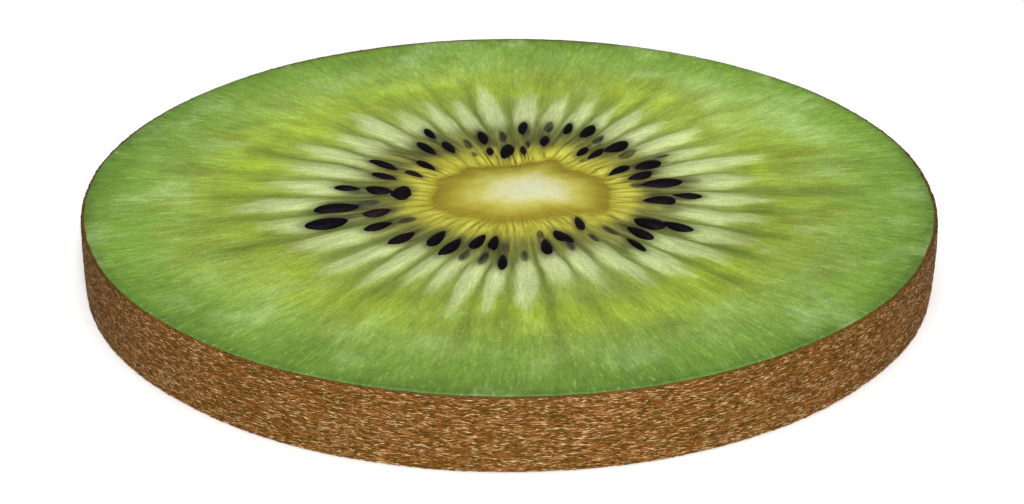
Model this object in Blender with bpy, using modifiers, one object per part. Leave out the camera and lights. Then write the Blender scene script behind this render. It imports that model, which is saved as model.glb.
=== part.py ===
"""A round slice of kiwi fruit, cut straight across and lying on its lower cut face.

The slice is one solid: a turned blank of flesh with its skin on the side, whose upper cut face is then
shaped into core, seed chambers and outer flesh, and the seeds that the knife laid bare, fused to that face.
Metres, +Z up. The origin is the centre of the lower cut face, and +Y is the far side of the slice.
"""

import math
import random

import bmesh
import bpy
from mathutils import Matrix, Vector

# Driving sizes
SLICE_RADIUS = 0.026
SLICE_THICKNESS = 0.0045

# Skin on the side of the slice
EDGE_ROUND = 0.00018
SIDE_BARREL = 0.00006
SIDE_ROWS = 5
SKIN_UNEVENNESS = 0.00005

# Waves that make a surface uneven: fewest and most in a turn, how many are added up, and how high they go
FACE_WAVES = (2, 9, 5)
SKIN_WAVES = (3, 17, 7)
WAVE_CREST = 1.5
WAVE_DRAW = 20

# Core: its middle as a share of the slice's radius, and the reach of its edge at every CORE_STEP degrees,
# anticlockwise from the right. CORE_REACH is the usual one.
CORE_CENTRE = Vector((0.02, -0.005))
CORE_REACH = 0.18
CORE_STEP = 15
CORE_EDGE = (
    0.219, 0.212, 0.182, 0.168, 0.194, 0.160, 0.130, 0.137, 0.148, 0.171, 0.166, 0.185,
    0.182, 0.200, 0.210, 0.198, 0.173, 0.188, 0.175, 0.163, 0.164, 0.182, 0.243, 0.226,
)

# Relief of the core: a low dome at shares of the slice's radius, and a groove a share past the core's edge
CORE_DOME = 0.00022
CORE_DOME_TOP = 0.04
CORE_DOME_FOOT = 0.16
CORE_GROOVE = 0.0001
CORE_GROOVE_AT = 1.05
CORE_GROOVE_WIDTH = 0.15

# Flesh of the cut face, at shares of the slice's radius
CHAMBER_RIB = 0.00009
CHAMBER_RIB_FROM = 0.27
CHAMBER_RIB_RISE = 0.08
CHAMBER_RIB_FALL = 0.2
CHAMBER_RIB_TO = 0.70
FACE_UNEVENNESS = 0.00005
UNEVEN_FROM = 0.1
UNEVEN_IN_FULL = 0.4
COLUMNS_PER_CHAMBER = 4
CORE_RINGS = (0.34, 0.68, 0.90, 1.0)
FLESH_RINGS = (0.03, 0.08, 0.14, 0.20, 0.26, 0.33, 0.41, 0.50, 0.60, 0.72, 0.86)

# Build of every seed
SEED_HEIGHT = 0.0009
SEED_PROUD = 0.0003
SEED_TAPER = 0.3
SEED_SEGMENTS = 8
SEED_RINGS = 5

# Finish and building tolerances
FLESH_COLOUR = (0.30, 0.44, 0.09)
FLESH_ROUGHNESS = 0.35
SHARP_ANGLE = math.radians(40)
SAME_POINT = 1e-6
SIDE_MARGIN = 1e-4

# Bearings of the fruit's seed chambers in degrees, anticlockwise from the right
CHAMBERS = (
    4.5, 17, 26, 37, 46, 55, 62, 69, 77, 86, 97, 104.5, 113, 122.5, 132.5, 145, 155, 167, 178, 190,
    201.5, 214.5, 228, 237, 245.5, 251.5, 258.5, 265, 272.5, 282.5, 290.5, 300.5, 310, 320, 331, 342.5, 353.5,
)

# Seeds that the knife laid bare: bearing in degrees, reach as a share of the slice's radius, length and width
# in millimetres, and degrees by which each is turned away from pointing at the core
SEEDS = (
    (3.6, 0.350, 2.40, 1.05, 6),
    (13.2, 0.307, 1.80, 0.75, 20),
    (22.8, 0.348, 1.80, 0.90, 8),
    (22.2, 0.270, 1.75, 0.72, 25),
    (44.1, 0.345, 1.95, 0.85, 2),
    (45.5, 0.279, 1.90, 0.62, 13),
    (52.4, 0.266, 1.60, 0.58, 14),
    (61.9, 0.382, 2.00, 0.72, 3),
    (69.3, 0.376, 1.80, 0.52, 8),
    (75.2, 0.288, 1.60, 0.56, 8),
    (86.3, 0.356, 1.90, 0.58, 0),
    (85.0, 0.221, 1.45, 0.40, 9),
    (96.2, 0.216, 2.30, 0.85, -14),
    (105.2, 0.309, 1.95, 0.60, -6),
    (106.6, 0.223, 1.25, 0.45, -12),
    (123.3, 0.379, 1.65, 0.52, -10),
    (124.2, 0.290, 1.85, 0.62, -12),
    (133.0, 0.318, 2.00, 0.66, -9),
    (148.8, 0.251, 1.80, 0.66, -20),
    (158.2, 0.342, 2.05, 0.66, -13),
    (162.3, 0.254, 1.40, 0.50, -22),
    (168.8, 0.319, 1.65, 0.60, -13),
    (181.3, 0.393, 1.55, 0.62, -10),
    (182.3, 0.321, 1.60, 0.80, -15),
    (185.3, 0.266, 2.00, 1.20, 80),
    (194.8, 0.422, 2.60, 1.05, -4),
    (204.2, 0.467, 2.55, 1.20, -2),
    (203.6, 0.346, 1.70, 0.72, 0),
    (214.8, 0.376, 1.85, 0.80, 0),
    (227.5, 0.373, 2.05, 0.78, 0),
    (237.1, 0.326, 2.05, 0.70, 8),
    (245.9, 0.353, 2.30, 0.68, -3),
    (253.9, 0.304, 2.05, 0.64, -7),
    (260.7, 0.302, 1.90, 0.56, 0),
    (266.0, 0.400, 1.80, 0.50, 0),
    (282.2, 0.333, 2.05, 0.60, -7),
    (292.0, 0.285, 1.90, 0.88, 6),
    (306.7, 0.241, 1.80, 0.58, -28),
    (311.1, 0.414, 1.90, 0.50, -11),
    (319.2, 0.374, 2.05, 0.72, -6),
    (330.2, 0.428, 2.00, 0.70, -3),
    (328.5, 0.362, 1.95, 1.00, 3),
    (349.5, 0.344, 1.95, 1.02, 14),
    (353.1, 0.408, 1.75, 0.78, 0),
)
MILLIMETRE = 0.001


def clear_scene():
    """Removes every object from the open scene."""
    for old in list(bpy.data.objects):
        bpy.data.objects.remove(old)


def new_collection(name):
    """A collection of that name, linked to the scene."""
    collection = bpy.data.collections.new(name)
    bpy.context.scene.collection.children.link(collection)
    return collection


def smooth_step(low, high, value):
    """0 below low, 1 above high, and an even S-curve between."""
    t = min(max((value - low) / (high - low), 0.0), 1.0)
    return t * t * (3 - 2 * t)


class Waves:
    """A few seeded sine waves round the slice, which make a surface a little uneven."""

    def __init__(self, draw, lowest, highest, count):
        self.waves = [
            (draw.randint(lowest, highest), draw.uniform(0, math.tau), draw.uniform(-1, 1))
            for _ in range(count)
        ]

    def at(self, bearing, across):
        """From about -1 to 1 at this bearing, and at this share of the way across the surface."""
        total = sum(
            math.sin(number * bearing + phase + math.tau * lean * across)
            for number, phase, lean in self.waves
        )
        return total / math.sqrt(len(self.waves)) / WAVE_CREST


def core_outline(bearing):
    """Reach of the core's edge at this bearing, as a share of the slice's radius."""
    step, share = divmod(math.degrees(bearing) / CORE_STEP, 1)
    here = CORE_EDGE[int(step) % len(CORE_EDGE)]
    after = CORE_EDGE[int(step + 1) % len(CORE_EDGE)]
    return here + (after - here) * smooth_step(0, 1, share)


def chamber_bearing(number):
    """Bearing in radians at a chamber number, which is whole at a chamber's middle and a half at a wall."""
    count = len(CHAMBERS)
    index = int(number)
    here = CHAMBERS[index]
    after = CHAMBERS[(index + 1) % count] + (360 if index + 1 == count else 0)
    return math.radians(here + (after - here) * (number - index))


def place(bearing, reach):
    """The point of the cut face at this bearing from the core and this share of the way out to the skin."""
    across = Vector((math.cos(bearing), math.sin(bearing)))
    return SLICE_RADIUS * (reach * across + (1 - reach) * CORE_CENTRE)


def cut_height(number, bearing, reach, unevenness):
    """Height of the upper cut face over the lower one."""
    rib = math.cos(math.tau * number) * CHAMBER_RIB
    rib *= smooth_step(CHAMBER_RIB_FROM, CHAMBER_RIB_FROM + CHAMBER_RIB_RISE, reach)
    rib *= 1 - smooth_step(CHAMBER_RIB_TO - CHAMBER_RIB_FALL, CHAMBER_RIB_TO, reach)
    dome = CORE_DOME * (1 - smooth_step(CORE_DOME_TOP, CORE_DOME_FOOT, reach))
    past_edge = reach / core_outline(bearing) - CORE_GROOVE_AT
    groove = CORE_GROOVE * math.exp(-((past_edge / CORE_GROOVE_WIDTH) ** 2))
    wave = FACE_UNEVENNESS * unevenness.at(bearing, reach)
    wave *= smooth_step(UNEVEN_FROM, UNEVEN_IN_FULL, reach)
    return SLICE_THICKNESS + rib + dome - groove + wave


def slice_profile():
    """Half-section of the blank, from the middle of the upper face out, down the side and back to the middle.

    Each point is (reach, height). On the upper face reach is a share of the radius along the face, with the
    core's edge at CORE_REACH.
    """
    upper = [0.0]
    upper += [CORE_REACH * share for share in CORE_RINGS]
    upper += [CORE_REACH + (1 - CORE_REACH) * share for share in FLESH_RINGS]
    inset = 1 - EDGE_ROUND / SLICE_RADIUS
    upper.append(inset)
    points = [(reach, SLICE_THICKNESS) for reach in upper]
    side = SLICE_THICKNESS - 2 * EDGE_ROUND
    points += [(1.0, EDGE_ROUND + side * (1 - row / (SIDE_ROWS - 1))) for row in range(SIDE_ROWS)]
    points += [(inset, 0.0), (0.0, 0.0)]
    return points


def turned_blank(collection):
    """The slice as a plain turned disc, with a column of points for each quarter of a seed chamber."""
    points = slice_profile()
    mesh = bpy.data.meshes.new("slice_profile")
    corners = [(reach * SLICE_RADIUS, 0.0, height) for reach, height in points]
    edges = [(i, i + 1) for i in range(len(points) - 1)]
    mesh.from_pydata(corners, edges, [])
    blank = bpy.data.objects.new("kiwi_slice", mesh)
    collection.objects.link(blank)
    screw = blank.modifiers.new("turn", "SCREW")
    screw.angle = math.tau
    screw.steps = screw.render_steps = COLUMNS_PER_CHAMBER * len(CHAMBERS)
    screw.use_merge_vertices = True
    screw.merge_threshold = SAME_POINT
    apply_modifiers(blank)
    return blank


def apply_modifiers(piece):
    """Replaces the piece's mesh with what its modifiers make of it."""
    bpy.context.view_layer.update()
    graph = bpy.context.evaluated_depsgraph_get()
    made = bpy.data.meshes.new_from_object(piece.evaluated_get(graph))
    piece.modifiers.clear()
    piece.data = made


def shape_blank(blank, draw):
    """Gives the turned disc its core, ribs and uneven skin by moving its points."""
    face = Waves(draw, *FACE_WAVES)
    skin = Waves(draw, *SKIN_WAVES)
    columns = COLUMNS_PER_CHAMBER * len(CHAMBERS)
    side_middle = SLICE_THICKNESS / 2
    for vertex in blank.data.vertices:
        x, y, z = vertex.co
        share = math.hypot(x, y) / SLICE_RADIUS
        column = round(math.atan2(y, x) / math.tau * columns) % columns
        number = column / COLUMNS_PER_CHAMBER
        bearing = chamber_bearing(number)
        core = core_outline(bearing)
        if share <= CORE_REACH:
            reach = core * share / CORE_REACH
        else:
            reach = core + (1 - core) * (share - CORE_REACH) / (1 - CORE_REACH)
        point = place(bearing, reach)
        if z > SLICE_THICKNESS - EDGE_ROUND / 2:
            z = cut_height(number, bearing, reach, face)
        elif share > 1 - SIDE_MARGIN:
            barrel = SIDE_BARREL * ((z - side_middle) / side_middle) ** 2
            uneven = SKIN_UNEVENNESS * skin.at(bearing, z / SLICE_THICKNESS)
            point *= 1 - (barrel - uneven) / SLICE_RADIUS
        vertex.co = (point.x, point.y, z)


def seed_shape(length, width):
    """A seed's mesh about its own middle: a flattened ball whose slim end, along -X, is to face the core."""
    shape = bmesh.new()
    lying = Matrix.Rotation(math.pi / 2, 4, "Y")
    bmesh.ops.create_uvsphere(
        shape, u_segments=SEED_SEGMENTS, v_segments=SEED_RINGS, radius=0.5, matrix=lying
    )
    for vertex in shape.verts:
        slim = 1 - SEED_TAPER * (0.5 - vertex.co.x)
        vertex.co = (vertex.co.x * length, vertex.co.y * width * slim, vertex.co.z * SEED_HEIGHT)
    mesh = bpy.data.meshes.new("seed")
    shape.to_mesh(mesh)
    shape.free()
    return mesh


def sow_seeds(collection):
    """Lays the bare seeds in the cut face, each standing a little proud."""
    for number, (degrees, reach, length, width, tilt) in enumerate(SEEDS):
        shape = seed_shape(length * MILLIMETRE, width * MILLIMETRE)
        seed = bpy.data.objects.new(f"seed_{number:02d}", shape)
        collection.objects.link(seed)
        x, y = place(math.radians(degrees), reach)
        seed.location = (x, y, SLICE_THICKNESS + SEED_PROUD - SEED_HEIGHT / 2)
        seed.rotation_euler.z = math.radians(degrees + tilt)


def fuse(body, collection):
    """Joins everything in the collection to the body as one solid, and removes the collection's objects."""
    join = body.modifiers.new("fuse", "BOOLEAN")
    join.operation = "UNION"
    join.operand_type = "COLLECTION"
    join.collection = collection
    join.solver = "MANIFOLD"
    apply_modifiers(body)
    for piece in list(collection.objects):
        bpy.data.objects.remove(piece)
    bpy.data.collections.remove(collection)


def finish_with(body, name, colour, roughness):
    """Gives the body one plain material, and smooth shading apart from its sharp edges."""
    material = bpy.data.materials.new(name)
    material.use_nodes = True
    shader = material.node_tree.nodes["Principled BSDF"]
    shader.inputs["Base Color"].default_value = (*colour, 1.0)
    shader.inputs["Roughness"].default_value = roughness
    shader.inputs["Metallic"].default_value = 0.0
    material.diffuse_color = (*colour, 1.0)
    body.data.materials.clear()
    body.data.materials.append(material)
    body.data.shade_smooth()
    body.data.set_sharp_from_angle(angle=SHARP_ANGLE)


def main():
    """Builds the slice."""
    clear_scene()
    draw = random.Random(WAVE_DRAW)
    parts = new_collection("kiwi_slice")
    seeds = new_collection("seeds")
    body = turned_blank(parts)
    shape_blank(body, draw)
    sow_seeds(seeds)
    fuse(body, seeds)
    finish_with(body, "kiwi_flesh", FLESH_COLOUR, FLESH_ROUGHNESS)


main()
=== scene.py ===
"""Looks of one round slice of green kiwi fruit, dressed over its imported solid.

The slice lies on its lower cut. A ring of flesh and the core that fills its middle are closed bodies whose
cut faces have a fine relief. The seeds that the knife laid bare stand a little proud, and those below the cut
show dimly through the flesh. A thin skin with short fuzz runs round the side.

Everything is in metres, with +Z up. A place on a cut face is given by its bearing, which is the angle in
radians from the core's middle, anticlockwise from the right, and by its reach, which is the share of the way
from there to the skin.
"""

import logging
import math
import random
from dataclasses import dataclass, field
from enum import Enum

import bpy
import numpy as np
from mathutils import Matrix, Vector


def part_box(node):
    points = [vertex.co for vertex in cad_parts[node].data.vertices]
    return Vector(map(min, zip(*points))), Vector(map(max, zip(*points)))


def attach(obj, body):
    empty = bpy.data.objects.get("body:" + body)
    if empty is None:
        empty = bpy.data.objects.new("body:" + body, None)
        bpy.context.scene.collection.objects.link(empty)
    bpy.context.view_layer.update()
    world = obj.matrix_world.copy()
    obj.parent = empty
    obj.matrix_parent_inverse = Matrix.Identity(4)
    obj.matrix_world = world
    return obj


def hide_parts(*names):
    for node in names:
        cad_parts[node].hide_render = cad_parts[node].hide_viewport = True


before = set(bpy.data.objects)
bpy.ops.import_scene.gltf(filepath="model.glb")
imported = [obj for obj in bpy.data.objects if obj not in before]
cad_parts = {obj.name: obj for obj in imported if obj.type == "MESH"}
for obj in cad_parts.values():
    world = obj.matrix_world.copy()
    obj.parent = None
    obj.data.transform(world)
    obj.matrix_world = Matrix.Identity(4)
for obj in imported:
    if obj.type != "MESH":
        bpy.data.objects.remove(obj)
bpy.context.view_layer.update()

Array = np.ndarray
Colour = tuple[float, float, float, float]
Range = tuple[float, float]
Triple = tuple[float, float, float]
Stops = tuple[tuple[float, Colour], ...]
Rings = tuple[tuple[int, float], ...]
Socket = bpy.types.NodeSocket
Input = Socket | float | tuple[float, ...]
Plug = int | str
Cloud = tuple[float, float, float]
Streak = tuple[float, float, float, float]

log = logging.getLogger("kiwi_slice")

NODE = "kiwi_slice"
BODY = "root"
MM = 0.001


class Slot(Enum):
    """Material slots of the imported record."""

    FLESH = "flesh"
    CORE = "core"
    SEED = "seed"
    SKIN = "skin"


class Cut(Enum):
    """The slice's two cut faces. The value is the way that the face looks along Z."""

    UPPER = 1
    LOWER = -1


def paint(red: int, green: int, blue: int) -> Colour:
    """Turns a screen colour, in parts of 255, into the linear colour that shaders take."""
    linear = [((part / 255 + 0.055) / 1.055) ** 2.4 for part in (red, green, blue)]
    return (*linear, 1.0)


def stops(*rows: tuple[float, int, int, int]) -> Stops:
    """Colour stops, each from a place and a screen colour."""
    return tuple((place, paint(*screen)) for place, *screen in rows)


def smooth_step(low: float, high: float, value: Array) -> Array:
    """An even S-curve from 0 at low to 1 at high. It falls where high is below low."""
    share = np.clip((value - low) / (high - low), 0.0, 1.0)
    return share * share * (3 - 2 * share)


def belt(value: Array, rise: Range, fall: Range) -> Array:
    """A curve that is 1 between two ranges, and 0 before the first and after the second."""
    return smooth_step(*rise, value) * (1 - smooth_step(*fall, value))


def peak(value: Array, width: Array) -> Array:
    """A soft peak of height 1 round 0, which has fallen to about a third at its width."""
    return np.exp(-((value / width) ** 2))


# The fruit's plan


@dataclass(frozen=True)
class Chamber:
    """One seed chamber as the cut shows it.

    Attributes:
        degrees: Bearing of its pale flame.
        tip: Reach of the flame's tip.
        lean: Degrees by which the flame stands further round than the chamber's seeds.
    """

    degrees: float
    tip: float
    lean: float

    @property
    def seed_degrees(self) -> float:
        """Bearing of its seeds."""
        return self.degrees - self.lean


CHAMBERS = tuple(
    Chamber(*chamber)
    for chamber in (
        (4.5, 0.58, 0.5), (17, 0.64, 2), (26, 0.55, 1), (37, 0.57, 1), (46, 0.54, 1), (55, 0.565, 1),
        (62, 0.54, 0), (69, 0.6, 0), (77, 0.585, 0), (86, 0.58, 0), (97, 0.655, 0), (104.5, 0.555, -0.5),
        (113, 0.57, -1), (122.5, 0.54, -0.5), (132.5, 0.605, -0.5), (145, 0.52, -2), (155, 0.57, -3),
        (167, 0.55, -1), (178, 0.57, -3), (190, 0.67, -3), (201.5, 0.61, -1.5), (214.5, 0.595, -0.5),
        (228, 0.61, 0), (237, 0.61, 0), (245.5, 0.555, -0.5), (251.5, 0.58, -1.5), (258.5, 0.655, -1.5),
        (265, 0.64, -1), (272.5, 0.64, -0.5), (282.5, 0.52, 0.5), (290.5, 0.55, -0.5), (300.5, 0.59, -0.5),
        (310, 0.61, -1), (320, 0.62, 0), (331, 0.62, 1), (342.5, 0.605, -0.5), (353.5, 0.61, 1.5),
    )
)
FLAME_TIPS = np.array([chamber.tip for chamber in CHAMBERS])

# Reach of the core's edge every 15 degrees, as in the solid
CORE_EDGE = np.array((
    0.219, 0.212, 0.182, 0.168, 0.194, 0.160, 0.130, 0.137, 0.148, 0.171, 0.166, 0.185,
    0.182, 0.200, 0.210, 0.198, 0.173, 0.188, 0.175, 0.163, 0.164, 0.182, 0.243, 0.226,
))


@dataclass(frozen=True)
class SeedPlace:
    """One seed at a cut face.

    Attributes:
        degrees: Its bearing.
        reach: Its reach.
        length: Length in millimetres.
        width: Width in millimetres.
        tilt: Degrees by which it is turned away from pointing at the core.
        showing: 1 for a bare seed, and less the deeper it lies below the cut.
        plum: How much of a plum cast it has.
    """

    degrees: float
    reach: float
    length: float
    width: float
    tilt: float
    showing: float = 1.0
    plum: float = 0.0

    @property
    def bare(self) -> bool:
        """Whether the knife laid it bare."""
        return self.showing == 1


UPPER_SEEDS = tuple(
    SeedPlace(*seed)
    for seed in (
        # The bare seeds, which are the solid's own
        (3.6, 0.35, 2.4, 1.05, 6), (13.2, 0.307, 1.8, 0.75, 20), (22.8, 0.348, 1.8, 0.9, 8),
        (22.2, 0.27, 1.75, 0.72, 25), (44.1, 0.345, 1.95, 0.85, 2), (45.5, 0.279, 1.9, 0.62, 13),
        (52.4, 0.266, 1.6, 0.58, 14), (61.9, 0.382, 2, 0.72, 3), (69.3, 0.376, 1.8, 0.52, 8),
        (75.2, 0.288, 1.6, 0.56, 8), (86.3, 0.356, 1.9, 0.58, 0), (85, 0.221, 1.45, 0.4, 9, 1, 0.8),
        (96.2, 0.216, 2.3, 0.85, -14), (105.2, 0.309, 1.95, 0.6, -6),
        (106.6, 0.223, 1.25, 0.45, -12, 1, 0.4), (123.3, 0.379, 1.65, 0.52, -10),
        (124.2, 0.29, 1.85, 0.62, -12), (133, 0.318, 2, 0.66, -9), (148.8, 0.251, 1.8, 0.66, -20),
        (158.2, 0.342, 2.05, 0.66, -13), (162.3, 0.254, 1.4, 0.5, -22, 1, 0.9),
        (168.8, 0.319, 1.65, 0.6, -13), (181.3, 0.393, 1.55, 0.62, -10), (182.3, 0.321, 1.6, 0.8, -15),
        (185.3, 0.266, 2, 1.2, 80), (194.8, 0.422, 2.6, 1.05, -4), (204.2, 0.467, 2.55, 1.2, -2),
        (203.6, 0.346, 1.7, 0.72, 0, 1, 0.9), (214.8, 0.376, 1.85, 0.8, 0), (227.5, 0.373, 2.05, 0.78, 0),
        (237.1, 0.326, 2.05, 0.7, 8), (245.9, 0.353, 2.3, 0.68, -3), (253.9, 0.304, 2.05, 0.64, -7),
        (260.7, 0.302, 1.9, 0.56, 0), (266, 0.4, 1.8, 0.5, 0), (282.2, 0.333, 2.05, 0.6, -7),
        (292, 0.285, 1.9, 0.88, 6), (306.7, 0.241, 1.8, 0.58, -28, 1, 0.6), (311.1, 0.414, 1.9, 0.5, -11),
        (319.2, 0.374, 2.05, 0.72, -6), (330.2, 0.428, 2, 0.7, -3), (328.5, 0.362, 1.95, 1, 3),
        (349.5, 0.344, 1.95, 1.02, 14), (353.1, 0.408, 1.75, 0.78, 0),
        # Those below the cut
        (26.8, 0.403, 1.2, 0.6, 5, 0.52), (35.4, 0.339, 1.75, 0.7, 15, 0.9),
        (54.2, 0.354, 1.5, 0.62, 10, 0.6), (76.5, 0.375, 1.9, 0.58, 5, 0.55),
        (83.4, 0.262, 1.2, 0.35, 5, 0.55), (95.6, 0.308, 1.8, 0.5, -3, 0.6),
        (114, 0.287, 1.6, 0.5, -12, 0.6), (116.6, 0.224, 0.9, 0.4, -15, 0.5),
        (194.2, 0.352, 1.5, 0.6, 0, 0.6), (215.6, 0.304, 1.3, 0.65, 0, 0.65),
        (253, 0.382, 1.5, 0.52, -3, 0.8), (259.8, 0.39, 1.75, 0.55, -4, 0.85),
        (266.6, 0.33, 1.6, 0.45, 0, 0.4), (273.4, 0.375, 1.5, 0.5, -2, 0.48),
        (282.3, 0.262, 1.2, 0.42, -10, 0.55), (291.3, 0.343, 1.5, 0.5, -8, 0.8),
        (303.2, 0.325, 1.4, 0.48, -14, 0.6), (312.8, 0.32, 1.6, 0.6, -14, 0.65),
        (45, 0.235, 1, 0.5, 20, 0.35), (144, 0.36, 1.6, 0.8, 0, 0.2), (342, 0.385, 1.4, 0.8, 0, 0.22),
        (4.5, 0.425, 1.2, 0.9, 0, 0.25), (3.4, 0.292, 1, 0.7, 0, 0.6), (194.9, 0.375, 1.3, 0.45, 0, 0.75),
    )
)


class Waves:
    """A few seeded sine waves round the slice, which make a surface a little uneven."""

    flatten: float = 1.5

    def __init__(self, draw: random.Random, lowest: int, highest: int, count: int) -> None:
        """Draws so many waves, with from lowest to highest of each in a turn."""
        self.waves = [
            (draw.randint(lowest, highest), draw.uniform(0, math.tau), draw.uniform(-1, 1))
            for _ in range(count)
        ]

    def at(self, bearing: Array, across: Array) -> Array:
        """Height of the waves, from about -1 to 1, at bearings and shares of the way across."""
        turns = (number * bearing + phase + math.tau * lean * across for number, phase, lean in self.waves)
        return sum(np.sin(turn) for turn in turns) / math.sqrt(len(self.waves)) / self.flatten


@dataclass
class Mottle:
    """Seeded smooth noise over a face that closes on itself round the slice.

    Attributes:
        seed: Seed of the random numbers.
        around: Random values in a turn.
        along: Random values from 0 to 1 across the face.
    """

    seed: int
    around: int
    along: int

    def __post_init__(self) -> None:
        """Draws the noise."""
        self.values = np.random.default_rng(self.seed).uniform(-1, 1, (self.along + 2, self.around))

    def at(self, bearing: Array, across: Array) -> Array:
        """Height of the noise.

        Args:
            bearing: Bearings.
            across: Shares of the way across the face.

        Returns:
            Heights from -1 to 1.
        """
        turn = np.mod(bearing / math.tau, 1.0) * self.around
        way = np.clip(across, 0.0, 1.0) * self.along
        column, row = turn.astype(int), way.astype(int)
        right, up = smooth_step(0, 1, turn - column), smooth_step(0, 1, way - row)
        after = (column + 1) % self.around
        column = column % self.around
        near = self.values[row, column] * (1 - right) + self.values[row, after] * right
        far = self.values[row + 1, column] * (1 - right) + self.values[row + 1, after] * right
        return near * (1 - up) + far * up


@dataclass(frozen=True)
class Sector:
    """A part of the turn where something is stronger.

    Attributes:
        degrees: Bearing of its middle.
        width: Its half width in radians.
        strength: What it adds at its middle.
    """

    degrees: float
    width: float
    strength: float

    def at(self, bearing: Array) -> Array:
        """What it adds at each bearing."""
        away = (bearing - math.radians(self.degrees) + math.pi) % math.tau - math.pi
        return self.strength * peak(away, self.width)


@dataclass
class FruitPlan:
    """The fruit's layout across the cut, the same as the solid's.

    Attributes:
        radius: The slice's radius.
        thickness: Height of the upper cut face.
        centre: The core's middle, as shares of the radius.
        usual_core: Usual reach of the core's edge.
        scallop: How far that edge is scalloped.
        dome: Height of the low dome over the core.
        dome_slope: Reaches between which it falls.
        wave_draw: Seed of the broad waves.
        row_reach: Reach of the lower cut's outer row of seeds.
        row_step: How much nearer to the core its inner row is.
        seed_length: Length of its seeds, in millimetres.
        seed_width: Their width, in millimetres.
        seed_stray: Degrees by which they stray from their chamber's middle.
        seed_turn: Degrees by which they are turned.
    """

    radius: float
    thickness: float
    centre: tuple[float, float] = (0.02, -0.005)
    usual_core: float = 0.183
    scallop: float = 0.004
    dome: float = 0.00022
    dome_slope: Range = (0.04, 0.16)
    wave_draw: int = 20
    row_reach: Range = (0.33, 0.41)
    row_step: float = 0.085
    seed_length: Range = (1.5, 2.3)
    seed_width: Range = (0.5, 0.9)
    seed_stray: float = 1.2
    seed_turn: float = 8.0

    def __post_init__(self) -> None:
        """Draws the broad waves of the cut faces and of the side, and the core's scallops."""
        draw = random.Random(self.wave_draw)
        self.face_waves = Waves(draw, lowest=2, highest=9, count=5)
        self.side_waves = Waves(draw, lowest=3, highest=17, count=7)
        self.scallops = Mottle(31, 44, 1)

    @classmethod
    def from_frame(cls, skin_proud: float = 0.00001, seed_proud: float = 0.000278) -> "FruitPlan":
        """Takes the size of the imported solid, less how far its skin and its seeds stand out."""
        low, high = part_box(NODE)
        return cls(radius=(high.x - low.x) / 2 - skin_proud, thickness=high.z - low.z - seed_proud)

    def core_edge(self, bearing: Array) -> Array:
        """Reach of the core's edge, a little scalloped.

        Args:
            bearing: Bearings.

        Returns:
            The edge's reach at each.
        """
        place = np.mod(bearing / math.tau, 1.0) * len(CORE_EDGE)
        index = place.astype(int) % len(CORE_EDGE)
        share = smooth_step(0, 1, place - np.floor(place))
        smooth = CORE_EDGE[index] * (1 - share) + CORE_EDGE[(index + 1) % len(CORE_EDGE)] * share
        return smooth + self.scallop * self.scallops.at(bearing, np.zeros_like(bearing))

    def place(self, bearing: Array, reach: Array) -> tuple[Array, Array]:
        """The x and y of points of the cut face."""
        sides = ((np.cos(bearing), self.centre[0]), (np.sin(bearing), self.centre[1]))
        return tuple(self.radius * (reach * way + (1 - reach) * middle) for way, middle in sides)

    def chamber_number(self, bearing: Array, leaning: Array) -> Array:
        """Chamber at each bearing: whole at its middle, and a half at the wall after it.

        Args:
            bearing: Bearings.
            leaning: 0 where the seeds' bearings hold, 1 where the flames' do, and between.

        Returns:
            Chamber numbers, from about 0 to the number of chambers.
        """
        numbers = np.arange(-1, len(CHAMBERS) + 2)
        laps, index = np.divmod(numbers, len(CHAMBERS))
        by_seeds, by_flames = (
            np.interp(np.degrees(bearing), 360.0 * laps + np.array(middles)[index], numbers)
            for middles in ([each.seed_degrees for each in CHAMBERS], [each.degrees for each in CHAMBERS])
        )
        return by_seeds * (1 - leaning) + by_flames * leaning

    def lower_seeds(self) -> tuple[SeedPlace, ...]:
        """The bare seeds of the lower cut, drawn from the chambers.

        Returns:
            One or two seeds for each chamber.
        """
        draw = random.Random(self.wave_draw + 1)
        places = []
        for chamber in CHAMBERS:
            for row in range(draw.choice((1, 1, 2))):
                degrees = chamber.seed_degrees + draw.gauss(0, self.seed_stray)
                reach = draw.uniform(*self.row_reach) - self.row_step * row
                length, width = draw.uniform(*self.seed_length), draw.uniform(*self.seed_width)
                places.append(SeedPlace(degrees, reach, length, width, draw.gauss(0, self.seed_turn)))
        return tuple(places)


# Mesh helpers


def turn_bearings(count: int) -> Array:
    """So many bearings, evenly round the turn."""
    return np.arange(count) / count * math.tau


def add_object(name: str, data: bpy.types.ID) -> bpy.types.Object:
    """Puts a new object into the scene.

    Args:
        name: Its name.
        data: The mesh, light or camera that it shows.

    Returns:
        The object.
    """
    thing = bpy.data.objects.new(name, data)
    bpy.context.scene.collection.objects.link(thing)
    return thing


def mesh_piece(name: str, points: Array, faces: list[list[int]]) -> bpy.types.Object:
    """Makes a smoothly shaded mesh object in the scene.

    Args:
        name: The piece's name.
        points: Its points, one row each.
        faces: Its faces, as point numbers.

    Returns:
        The new object.
    """
    mesh = bpy.data.meshes.new(name)
    mesh.from_pydata(points.tolist(), [], faces)
    mesh.polygons.foreach_set("use_smooth", [True] * len(mesh.polygons))
    mesh.update()
    return add_object(name, mesh)


def write_field(piece: bpy.types.Object, name: str, values: Array) -> None:
    """Stores a number or a vector for each point, for the finish to read.

    Args:
        piece: The mesh object.
        name: The field's name.
        values: One number, or one row of three, for each point.
    """
    kind, part = ("FLOAT", "value") if values.ndim == 1 else ("FLOAT_VECTOR", "vector")
    layer = piece.data.attributes.new(name, kind, "POINT")
    layer.data.foreach_set(part, values.astype(np.float32).ravel())


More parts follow.
